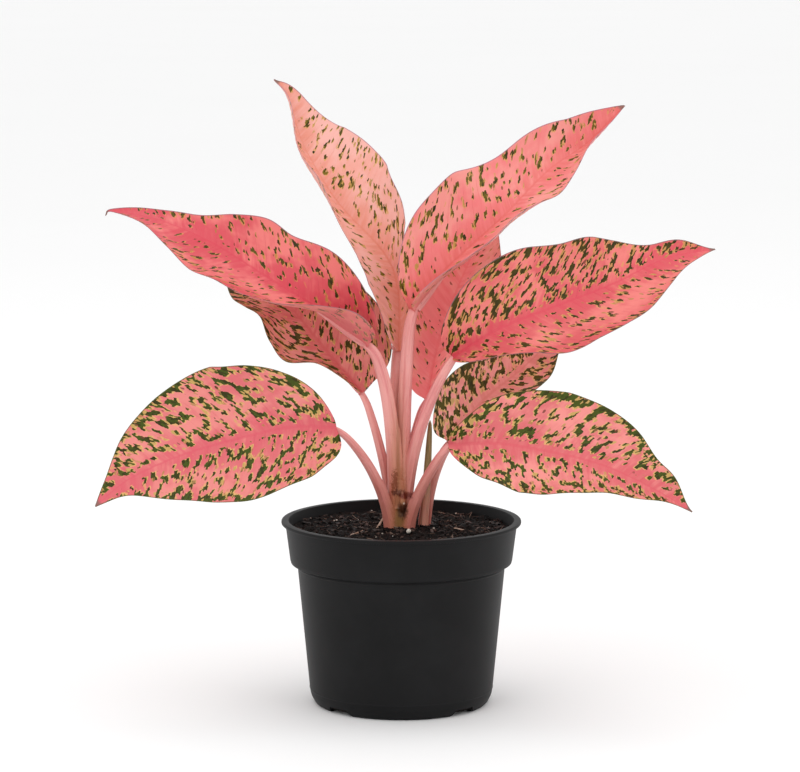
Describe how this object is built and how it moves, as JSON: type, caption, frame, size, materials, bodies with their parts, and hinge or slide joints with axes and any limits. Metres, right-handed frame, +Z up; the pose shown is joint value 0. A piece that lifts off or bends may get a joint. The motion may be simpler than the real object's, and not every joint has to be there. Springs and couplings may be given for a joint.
{
  "type": "potted chinese evergreen",
  "caption": "Potted foliage plant: pink, green-flecked pointed leaf blades on slim petioles rise from moist soil in a round black nursery pot.",
  "frame": {"origin": "centre of the flat underside of the pot", "axes": "+Z up along the pot's axis, -Y towards the side that the leaves face, +X to the right seen from that side"},
  "size_m": [0.3795, 0.1771, 0.3863],
  "materials": {
    "pot_plastic": "satin moulded",
    "potting_soil": "damp, rough",
    "petiole": "smooth, waxy",
    "young_sheath": "smooth, waxy",
    "leaf_pale": "satin, olive flecks",
    "leaf_coral": "satin, green flecks",
    "leaf_flecked": "satin, dense green flecks"
  },
  "bodies": {
    "root": {"pot": "pot_plastic", "soil": "potting_soil", "main_stem": "petiole", "side_stem": "petiole", "young_leaf": "young_sheath", "leaf_top_left": "leaf_pale", "leaf_top_right": "leaf_pale", "leaf_middle_left": "leaf_coral", "leaf_behind_left": "leaf_coral", "leaf_centre": "leaf_coral", "leaf_middle_right": "leaf_coral", "leaf_low_left": "leaf_flecked", "leaf_low_right": "leaf_flecked", "leaf_behind_right": "leaf_flecked"}
  },
  "joints": []
}
